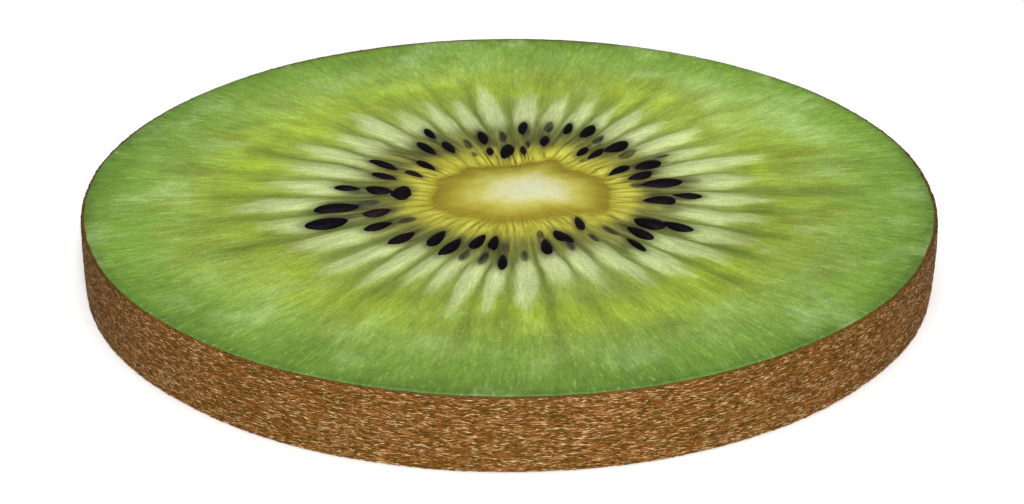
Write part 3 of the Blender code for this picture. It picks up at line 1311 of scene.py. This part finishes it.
    def veil_and_shade(self) -> Array:
        """Seeds that show dimly through the flesh, and painted shade round the bare ones.

        Returns:
            Strength from 0 to 1.
        """
        face = self.face
        x, y = face.plan.place(self.bearing, self.reach)
        strength = np.zeros_like(self.reach)
        for seed in face.seeds:
            angle = math.radians(seed.degrees)
            at_x, at_y = face.plan.place(np.array(angle), np.array(seed.reach))
            turn = angle + math.radians(seed.tilt)
            along = (x - at_x) * math.cos(turn) + (y - at_y) * math.sin(turn)
            aside = (y - at_y) * math.cos(turn) - (x - at_x) * math.sin(turn)
            away = np.hypot(along / (seed.length * MM / 2), aside / (seed.width * MM / 2))
            # Bare seeds get a painted shade round them; the others show dimly through the flesh
            most = face.halo_shade if seed.bare else min(face.sunken_strength * seed.showing, 1.0)
            edge = face.halo_shade_edge if seed.bare else face.sunken_edge
            strength = np.maximum(strength, most * (1 - smooth_step(*edge, away)))
        return strength * (face.veil_texture[0] + face.veil_texture[1] * self.fine)

    def lime(self) -> Array:
        """Strength of the lime-yellow patches beyond the flames."""
        return LIME.at(self, self.face.patches)

    def stain(self) -> Array:
        """Strength of the olive streaks beyond the flames."""
        return STAIN.at(self, self.face.streaks)

    def shore(self) -> Array:
        """Deeper green next to the skin, strongest at the front and at the left.

        Returns:
            Strength from 0 to 1.
        """
        face = self.face
        front = 0.5 - 0.5 * np.sin(self.bearing)
        rise = smooth_step(*face.shore_rise, self.reach + face.shore_ragged * self.breakup)
        return rise * (face.front_shore * front**2 + face.left_shore.at(self.bearing))

    def painted_sun_and_patches(self) -> Array:
        """Painted broad light and shade over the outer flesh, palest at the back right, mixed with random
        light and dark patches.

        Returns:
            0 where it is darkest, 1 where it is palest, and a half where it is as usual.
        """
        face = self.face
        broad = face.sun_strength * np.cos(self.bearing - math.radians(face.sun_degrees))
        broad = broad + face.sun_patch.at(self.bearing)
        broad = broad + face.sun_patches * face.patches.at(self.bearing, self.reach)
        return np.clip(0.5 + 0.5 * broad * smooth_step(*face.sun_rise, self.reach), 0, 1)

    def height(self) -> Array:
        """Height of the flesh over the plane of the cut.

        Returns:
            Heights in metres, measured outwards from the slice.
        """
        face, plan = self.face, self.face.plan
        swell = plan.face_waves.at(self.bearing, self.reach)
        height = plan.dome * (1 - smooth_step(*plan.dome_slope, self.reach))
        ribs = np.cos(math.tau * self.across) * belt(self.reach, face.rib_rise, face.rib_fall)
        height = height + face.rib * ribs
        height = height - face.groove * peak(self.reach / self.edge - face.groove_place, face.groove_width)
        height = height + face.finger_ridge * (self.finger() - face.gap_depth * self.gap())
        height = height - face.wall_crease * self.wall()
        height = height + face.fibre * self.fine * smooth_step(*face.fibre_rise, self.reach)
        height = height + face.unevenness * swell * smooth_step(*face.swell_rise, self.reach)
        return height - face.edge_drop * np.clip(1 - (1 - self.reach) / face.edge_width, 0, 1) ** 2


# The slice's pieces


@dataclass
class Flesh:
    """The ring of green flesh between the core and the skin, one closed body.

    Attributes:
        plan: The fruit's layout.
        upper: The upper cut face.
        lower: The lower one.
        skin: The skin round it.
        finish: Its finish.
        skin_gap: How far its side stays inside the skin's outer face.
        columns_per_chamber: Columns of points for each chamber.
        upper_rings: Ring numbers, and the share of the way from core to skin that each stands at.
        lower_rings: The same for the lower cut.
        side_rows: Rows of points down the side, and as many up the inside.
        fields: The fields that its finish reads, of which "ring" is stored as "reach".
    """

    plan: FruitPlan
    upper: CutFace
    lower: CutFace
    skin: "Skin"
    finish: FleshFinish = field(default_factory=FleshFinish)
    skin_gap: float = 0.00008
    columns_per_chamber: int = 20
    upper_rings: Rings = ((0, 0.0), (1, 0.0003), (60, 0.42), (78, 0.68), (90, 0.975), (96, 1.0))
    lower_rings: Rings = ((0, 0.0), (1, 0.0003), (15, 0.42), (23, 0.975), (26, 1.0))
    side_rows: int = 3
    fields: tuple[str, ...] = (
        "ring", "spear", "wall", "murk", "finger", "gap", "rim", "veil_and_shade", "lime", "stain", "shore", "painted_sun_and_patches"
    )

    def band(self, face: CutFace, rings: Rings, bearing: Array) -> Array:
        """Points of one cut face, from the upper face's core down the side to the lower face's.

        Args:
            face: The cut face.
            rings: Its rings.
            bearing: Bearings of the columns.

        Returns:
            For each ring and column the place, the bearing, the reach and the fields.
        """
        numbers, shares = zip(*rings)
        share = np.interp(np.arange(numbers[-1] + 1), numbers, shares)[:, None]
        edge = self.plan.core_edge(bearing)[None, :]
        reach = edge + (1 - edge) * share
        ground = Ground(face, np.broadcast_to(bearing, reach.shape), reach)
        x, y = self.plan.place(ground.bearing, reach)
        ends = np.arctan2(y[-1], x[-1])
        level = np.full_like(ends, 1.0 if face.cut is Cut.UPPER else 0.0)
        skin = self.skin.radius_at(ends, level) - self.skin_gap
        shrink = 1 - (1 - skin / self.plan.radius) * reach
        fields = [getattr(ground, name)() for name in self.fields]
        place = [x * shrink, y * shrink, face.over_table(ground.height())]
        return face.downwards(np.stack([*place, ground.bearing, reach, *fields], axis=-1))

    def build(self) -> bpy.types.Object:
        """Builds the flesh and dresses it.

        Returns:
            The piece.
        """
        columns = self.columns_per_chamber * len(CHAMBERS)
        bearing = turn_bearings(columns)
        upper = self.band(self.upper, self.upper_rings, bearing)
        lower = self.band(self.lower, self.lower_rings, bearing)
        side = rows_between(upper[-1], lower[0], self.side_rows)
        inner = rows_between(lower[-1], upper[0], self.side_rows)
        rows = np.concatenate([upper, side, lower, inner])
        points = rows.reshape(-1, rows.shape[-1])
        piece = mesh_piece("flesh", points[:, :3], band_faces(0, len(rows), columns, closed=True))
        write_ray(piece, points[:, 3], points[:, 4])
        for column, name in enumerate(self.fields, start=5):
            write_field(piece, "reach" if name == "ring" else name, points[:, column])
        dress(piece, self.finish.material(), Slot.FLESH)
        return piece


@dataclass
class Core:
    """The pale core, a closed plug that fills the flesh's middle.

    Attributes:
        plan: The fruit's layout.
        upper: The upper cut face.
        lower: The lower one.
        finish: Its finish.
        overlap: How far it reaches into the flesh, as a share of the way to its edge.
        sink: How far its hidden edge lies below the flesh.
        light_middle: Where its palest spot is, in shares of the way to its edge.
        columns: Columns of points round it.
        upper_rings: Rings of points on the upper cut.
        lower_rings: Rings of points on the lower cut.
        side_rows: Rows of points down the side.
    """

    plan: FruitPlan
    upper: CutFace
    lower: CutFace
    finish: CoreFinish = field(default_factory=CoreFinish)
    overlap: float = 0.012
    sink: float = 0.00003
    light_middle: tuple[float, float] = (0.16, -0.16)
    columns: int = 370
    upper_rings: int = 34
    lower_rings: int = 14
    side_rows: int = 3

    def band(self, face: CutFace, rings: int, bearing: Array) -> Array:
        """Points of one cut face, from the upper face's middle down the side to the lower face's.

        Args:
            face: The cut face.
            rings: How many rings it has.
            bearing: Bearings of the columns.

        Returns:
            For each ring and column the place, the rim and the distance from the palest spot.
        """
        shares = np.append(np.linspace(1 / rings, 1.0, rings - 1) / (1 + self.overlap), 1.0)
        share = shares[:, None] * np.ones_like(bearing)[None, :]
        edge = self.plan.core_edge(bearing) * (1 + self.overlap)
        ground = Ground(face, np.broadcast_to(bearing, share.shape), share * edge[None, :])
        x, y = self.plan.place(ground.bearing, ground.reach)
        z = face.over_table(ground.height() - self.sink * (share == 1.0))
        side, back = self.light_middle
        across = share * np.cos(ground.bearing) - side * (1 - share)
        along = share * np.sin(ground.bearing) - back * (1 - share)
        level = self.plan.usual_core * np.hypot(across, along)
        return face.downwards(np.stack([x, y, z, ground.rim(), level], axis=-1))

    def build(self) -> bpy.types.Object:
        """Builds the core and dresses it.

        Returns:
            The piece.
        """
        bearing = turn_bearings(self.columns)
        upper = self.band(self.upper, self.upper_rings, bearing)
        lower = self.band(self.lower, self.lower_rings, bearing)
        rows = np.concatenate([upper, rows_between(upper[-1], lower[0], self.side_rows), lower])
        middles = np.stack([upper[0].mean(axis=0), lower[-1].mean(axis=0)])
        middles[:, 4] = math.hypot(*self.light_middle) * self.plan.usual_core
        points = np.concatenate([rows.reshape(-1, rows.shape[-1]), middles])
        last = len(points) - len(middles)
        faces = band_faces(0, len(rows), self.columns, closed=False)
        faces += fan_faces(last, 0, self.columns)
        faces += fan_faces(last + 1, last - self.columns, self.columns, turned=True)
        piece = mesh_piece("core", points[:, :3], faces)
        write_field(piece, "rim", points[:, 3])
        write_field(piece, "level", points[:, 4])
        dress(piece, self.finish.material(), Slot.CORE)
        return piece


@dataclass
class Seeds:
    """The seeds that a cut laid bare, in one piece, each a flattened drop that points at the core.

    Attributes:
        name: The piece's name.
        face: The cut face that they lie in.
        finish: Their finish.
        height: Their thickness.
        proud: How far they stand over the flesh round them.
        larger: Their size against the size that the cut shows.
        rings: Rings of points along each.
        sides: Points in a ring.
        inner_point: How pointed the end towards the core is.
        outer_point: How pointed the other end is.
        flatness: How much blunter they are from the side.
        bend: How far they are bent at most, as a share of their length.
        dents: How uneven they are.
        faint_plum: The plum cast that any seed may have.
        lower_clearance: How far those of the lower cut stay over the table.
        draw_seed: Seed of their random numbers.
    """

    name: str
    face: CutFace
    finish: SeedFinish = field(default_factory=SeedFinish)
    height: float = 0.00056
    proud: float = 0.00016
    larger: float = 1.16
    rings: int = 22
    sides: int = 20
    inner_point: float = 0.78
    outer_point: float = 0.56
    flatness: float = 0.7
    bend: float = 0.03
    dents: float = 0.01
    faint_plum: float = 0.25
    lower_clearance: float = 0.00002
    draw_seed: int = 5

    def outline(self, way: Array) -> Array:
        """Half width at shares of the way from the pointed end, with 1 at the widest."""
        widest = self.inner_point / (self.inner_point + self.outer_point)
        return (way / widest) ** self.inner_point * ((1 - way) / (1 - widest)) ** self.outer_point

    def middle(self, place: SeedPlace) -> Array:
        """Where a seed's middle is.

        Args:
            place: The seed.

        Returns:
            Its x, y and z.
        """
        plan = self.face.plan
        bearing, reach = np.array([math.radians(place.degrees)]), np.array([place.reach])
        x, y = plan.place(bearing, reach)
        z = self.height / 2 + self.lower_clearance
        if self.face.cut is Cut.UPPER:
            z = plan.thickness + Ground(self.face, bearing, reach).height()[0] + self.proud - self.height / 2
        return np.array([x[0], y[0], z])

    def one(self, place: SeedPlace, draw: np.random.Generator) -> Array:
        """Points of one seed.

        Args:
            place: The seed.
            draw: Source of the random numbers.

        Returns:
            Its points: the pointed end, the rings and the round end.
        """
        length, width = place.length * MM * self.larger, place.width * MM * self.larger
        way = (1 - np.cos(np.arange(1, self.rings + 1) / (self.rings + 1) * math.pi)) / 2
        turn = turn_bearings(self.sides)
        wide = self.outline(way)[:, None]
        bend = draw.uniform(-self.bend, self.bend) * length
        rough = 1 + draw.normal(0, self.dents, (self.rings, self.sides))
        along = (way - 0.5)[:, None] * length * np.ones_like(turn)[None, :]
        aside = wide * np.cos(turn) * rough * width / 2
        aside = aside + bend * (1 - 4 * (way[:, None] - 0.5) ** 2)
        lift = wide**self.flatness * np.sin(turn) * rough * self.height / 2
        rings = np.stack([along, aside, np.maximum(lift, -self.height / 2)], axis=-1).reshape(-1, 3)
        ends = np.array([[-length / 2, 0.0, 0.0], [length / 2, 0.0, 0.0]])
        points = np.concatenate([ends[:1], rings, ends[1:]])
        angle = math.radians(place.degrees) + math.radians(place.tilt)
        return points @ np.array(Matrix.Rotation(angle, 3, "Z")).T + self.middle(place)

    def build(self) -> bpy.types.Object:
        """Builds the seeds and dresses them.

        Returns:
            The piece.
        """
        draw = np.random.default_rng(self.draw_seed)
        points, faces, plum = [], [], []
        size = self.rings * self.sides + 2
        for number, place in enumerate(seed for seed in self.face.seeds if seed.bare):
            first, last = number * size, (number + 1) * size - 1
            points.append(self.one(place, draw))
            faces += fan_faces(first, first + 1, self.sides, turned=True)
            faces += fan_faces(last, last - self.sides, self.sides)
            faces += band_faces(first + 1, self.rings, self.sides, closed=False, turned=True)
            plum.append(np.full(size, max(place.plum, self.faint_plum * draw.uniform(0, 1) ** 2)))
        piece = mesh_piece(self.name, np.concatenate(points), faces)
        write_field(piece, "plum", np.concatenate(plum))
        dress(piece, self.finish.material(), Slot.SEED)
        return piece


@dataclass
class Skin:
    """The thin skin round the side, a closed band.

    Attributes:
        plan: The fruit's layout.
        finish: Its finish.
        thickness: Its own thickness.
        top_gap: How far its upper edge stays below the cut face.
        bottom_gap: How far its lower edge stays over the table.
        columns: Columns of points round it.
        outer_rows: Rows of points down its outer face.
        lip: Size of its rounded edges.
        lip_share: Share of the height over which the side turns in to them.
        bulge: How much further out the middle of the side stands than its edges.
        unevenness: Height of the broad waves.
        pebbling: Height of the pebbles.
        graining: Height of the grains over them, as a share of theirs.
        crown: How far its upper edge is rounded over, outside and inside, as shares of the lip.
        pebbles: Noise of the pebbles.
        grains: Noise of the grains.
    """

    plan: FruitPlan
    finish: SkinFinish = field(default_factory=SkinFinish)
    thickness: float = 0.00013
    top_gap: float = 0.00005
    bottom_gap: float = 0.00002
    columns: int = 1110
    outer_rows: int = 28
    lip: float = 0.00004
    lip_share: float = 0.03
    bulge: float = 0.00006
    unevenness: float = 0.00005
    pebbling: float = 0.000022
    graining: float = 0.5
    crown: Range = (0.3, 0.2)
    pebbles: Mottle = field(default_factory=lambda: Mottle(61, 420, 26))
    grains: Mottle = field(default_factory=lambda: Mottle(62, 1000, 56))

    def radius_at(self, bearing: Array, share: Array) -> Array:
        """Radius of the skin's outer face.

        Args:
            bearing: Angles round the slice.
            share: Shares of the way up the side.

        Returns:
            Radii in metres.
        """
        barrel = self.bulge * (2 * share - 1) ** 2
        uneven = self.unevenness * self.plan.side_waves.at(bearing, share)
        grains = self.graining * self.grains.at(bearing, share)
        pebbles = self.pebbling * (self.pebbles.at(bearing, share) + grains)
        return self.plan.radius - barrel + uneven + pebbles

    def build(self) -> bpy.types.Object:
        """Builds the skin and dresses it.

        Returns:
            The piece.
        """
        bearing = turn_bearings(self.columns)
        low, high = self.bottom_gap, self.plan.thickness - self.top_gap
        rows = []
        for share in np.linspace(0.0, 1.0, self.outer_rows):
            ends = smooth_step(1 - self.lip_share, 1.0, share) + smooth_step(self.lip_share, 0.0, share)
            radius = self.radius_at(bearing, np.full_like(bearing, share)) - self.lip * ends
            rows.append((radius, low + (high - low) * share))
        top, bottom = rows[-1][0], rows[0][0]
        outside, inside = self.crown
        rows += [
            (top - self.lip, high + outside * self.lip),
            (top - self.thickness + self.lip, high + inside * self.lip),
            (top - self.thickness, high - 2 * self.lip),
            (bottom - self.thickness, low + 2 * self.lip),
            (bottom - self.thickness + self.lip, low),
        ]
        points = np.concatenate([
            np.stack([radius * np.cos(bearing), radius * np.sin(bearing), np.full_like(bearing, z)], axis=-1)
            for radius, z in rows
        ])
        faces = band_faces(0, len(rows), self.columns, closed=True, turned=True)
        piece = mesh_piece("skin", points, faces)
        write_ray(piece, np.arctan2(points[:, 1], points[:, 0]), points[:, 2] / self.plan.thickness)
        dress(piece, self.finish.material(), Slot.SKIN)
        return piece


@dataclass
class Fuzz:
    """Short stiff hairs that lie along the skin, mostly level, each a slim flat spindle of four faces.

    Attributes:
        plan: The fruit's layout.
        skin: The skin that they grow from.
        name: The piece's name.
        draw_seed: Seed of its random numbers.
        lengths: Length of the shortest hair and of the longest.
        widths: Width of the thinnest hair and of the thickest.
        finish: Their finish.
        count: How many there are.
        slope_spread: How much they slope.
        root_height: How far their roots stand over the skin.
        tip_height: How far their tips do, at least and at most.
        belly_height: How far their widest part does.
        belly: How far that part is from the middle, as a share of the length.
        roundness: How much of their own shape the shading shows.
        tone_spread: Shape of the spread of tones from dark to light.
        edge_gap: How far they stay from the skin's edges.
        over_edge: How far they may stand over the cut face.
    """

    plan: FruitPlan
    skin: Skin
    name: str
    draw_seed: int
    lengths: Range
    widths: Range
    finish: FuzzFinish = field(default_factory=FuzzFinish)
    count: int = 49900
    slope_spread: float = math.radians(9)
    root_height: float = 0.000022
    tip_height: Range = (0.00002, 0.00006)
    belly_height: float = 0.000012
    belly: float = 0.06
    roundness: float = 0.08
    tone_spread: Range = (0.9, 1.12)
    edge_gap: float = 0.00006
    over_edge: float = 0.00001

    def build(self) -> bpy.types.Object:
        """Builds the hairs and dresses them.

        Returns:
            The piece.
        """
        draw = np.random.default_rng(self.draw_seed)
        count, thickness = self.count, self.plan.thickness
        bearing = draw.uniform(0, math.tau, count)
        usable = thickness - self.skin.top_gap - 2 * self.edge_gap
        height = self.edge_gap + draw.uniform(0, 1, count) * usable
        radius = self.skin.radius_at(bearing, height / thickness)[:, None]
        out = np.stack([np.cos(bearing), np.sin(bearing), np.zeros(count)], axis=-1)
        level = np.stack([-np.sin(bearing), np.cos(bearing), np.zeros(count)], axis=-1)
        up = np.array([0.0, 0.0, 1.0])
        slope = draw.normal(0, self.slope_spread, count)[:, None]
        side = draw.choice([-1.0, 1.0], count)[:, None]
        length, width, tip_height = (
            draw.uniform(*spread, count)[:, None] for spread in (self.lengths, self.widths, self.tip_height)
        )
        way = side * np.cos(slope) * level + np.sin(slope) * up
        half_cross = np.cross(way, out) * width / 2
        middle = radius * out + height[:, None] * up
        root = middle - way * length / 2 + self.root_height * out
        tip = middle + way * length / 2 + tip_height * out
        belly = middle - way * length * self.belly + self.belly_height * out
        spindle = np.stack([root, belly - half_cross, belly + half_cross, tip], axis=1)
        spindle[:, :, 2] = np.clip(spindle[:, :, 2], 0.0, thickness + self.over_edge)
        pattern = np.array([[0, 3, 1], [0, 2, 3], [0, 1, 2], [1, 3, 2]])
        faces = (np.arange(count)[:, None, None] * 4 + pattern[None]).reshape(-1, 3).tolist()
        piece = mesh_piece(self.name, spindle.reshape(-1, 3), faces)
        write_field(piece, "tone", np.repeat(draw.beta(*self.tone_spread, count), 4))
        self.shade_softly(piece, np.repeat(out, 4, axis=0))
        dress(piece, self.finish.material(), Slot.SKIN)
        return piece

    def shade_softly(self, piece: bpy.types.Object, out: Array) -> None:
        """Lets the hairs take the light nearly as the skin under them does.

        Args:
            piece: The hairs.
            out: The way out from the slice's middle at each of their points.
        """
        own = np.zeros(len(piece.data.vertices) * 3)
        piece.data.vertex_normals.foreach_get("vector", own)
        shading = out + self.roundness * own.reshape(-1, 3)
        shading = shading / np.linalg.norm(shading, axis=1, keepdims=True)
        piece.data.normals_split_custom_set_from_vertices(shading.tolist())


# Table, light and camera


def turn_ahead(thing: bpy.types.Object, ahead: Vector) -> None:
    """Turns a light or a camera to look ahead."""
    thing.rotation_euler = ahead.to_track_quat("-Z", "Y").to_euler()


@dataclass(frozen=True)
class SoftBox:
    """One square studio light.

    Attributes:
        name: The light's name.
        place: Where it hangs.
        side: Length of its side.
        power: Its power in watts.
        colour: Its colour.
    """

    name: str
    place: Triple
    side: float
    power: float
    colour: Triple = (1.0, 1.0, 1.0)

    def build(self, target: Vector) -> bpy.types.Object:
        """Hangs the light and turns it to the slice.

        Args:
            target: What it faces.

        Returns:
            The light.
        """
        data = bpy.data.lights.new(self.name, "AREA")
        data.size = self.side
        data.energy = self.power
        data.color = self.colour
        light = add_object(self.name, data)
        light.location = self.place
        turn_ahead(light, target - light.location)
        return light


@dataclass(frozen=True)
class Studio:
    """A pale table under plain soft light, seen from the photograph's angle.

    Attributes:
        table_side: Length of the table's side.
        sky: Colour of the light from all round.
        sky_strength: Its strength.
        boxes: The lights.
        lens: The camera's focal length in millimetres.
        sensor: Width of its sensor in millimetres.
        elevation: How steeply it looks down.
        distance: How far it is from the slice.
        clip: Nearest and farthest that it sees, against its distance.
        aim_right: How far it is moved to the left of the slice's middle.
        aim_up: How far it is moved down, square to where it looks.
    """

    table_side: float = 6.0
    sky: Colour = (1.0, 1.0, 1.0, 1.0)
    sky_strength: float = 0.15
    boxes: tuple[SoftBox, ...] = (
        SoftBox("overhead_light", (0.0, 0.0, 0.42), side=0.30, power=0.95),
        SoftBox("front_light", (0.03, -0.43, 0.27), side=0.16, power=2.9),
    )
    lens: float = 79.57
    sensor: float = 36.0
    elevation: float = math.radians(26.066)
    distance: float = 0.13912
    clip: Range = (0.05, 200)
    aim_right: float = -0.000176
    aim_up: float = 0.003962

    def table(self) -> bpy.types.Object:
        """Lays the table.

        Returns:
            The table.
        """
        half = self.table_side / 2
        corners = np.array([[-half, -half, 0.0], [half, -half, 0.0], [half, half, 0.0], [-half, half, 0.0]])
        table = mesh_piece("table", corners, [[0, 1, 2, 3]])
        table.data.materials.append(TableFinish().material())
        return table

    def light(self, target: Vector) -> None:
        """Sets the sky and hangs the lights.

        Args:
            target: What the lights face.
        """
        world = bpy.data.worlds.new("studio")
        world.use_nodes = True
        background = world.node_tree.nodes["Background"]
        background.inputs["Color"].default_value = self.sky
        background.inputs["Strength"].default_value = self.sky_strength
        bpy.context.scene.world = world
        for box in self.boxes:
            box.build(target)

    def camera(self, target: Vector) -> bpy.types.Object:
        """Sets up the camera at the photograph's angle.

        Args:
            target: The middle of the upper cut face.

        Returns:
            The camera.
        """
        data = bpy.data.cameras.new("camera")
        data.sensor_width = self.sensor
        data.lens = self.lens
        data.clip_start, data.clip_end = (self.distance * share for share in self.clip)
        ahead = Vector((0, math.cos(self.elevation), -math.sin(self.elevation)))
        right = Vector((1, 0, 0))
        up = right.cross(ahead)
        camera = add_object("camera", data)
        camera.location = target - ahead * self.distance - right * self.aim_right - up * self.aim_up
        turn_ahead(camera, ahead)
        bpy.context.scene.camera = camera
        return camera


def main() -> None:
    """Builds and dresses the slice, then the table, the lights and the camera."""
    logging.basicConfig(level=logging.INFO, format="%(name)s %(message)s")
    bpy.context.scene.view_settings.view_transform = "Standard"
    plan = FruitPlan.from_frame()
    log.info("radius %.4f m, thickness %.4f m", plan.radius, plan.thickness)
    upper = CutFace(plan, Cut.UPPER, UPPER_SEEDS)
    lower = CutFace(plan, Cut.LOWER, plan.lower_seeds())
    skin = Skin(plan)
    for piece in (
        Flesh(plan, upper, lower, skin),
        Core(plan, upper, lower),
        Seeds("seeds", upper),
        Seeds("lower_seeds", lower),
        skin,
        Fuzz(plan, skin, "fuzz", 29, lengths=(0.00036, 0.00072), widths=(0.000034, 0.000064)),
        Fuzz(plan, skin, "down", 30, lengths=(0.00022, 0.00046), widths=(0.000024, 0.000046)),
    ):
        piece.build()
    top = Vector((0.0, 0.0, plan.thickness))
    studio = Studio()
    studio.table()
    studio.light(top)
    studio.camera(top)


if __name__ == "__main__":
    main()
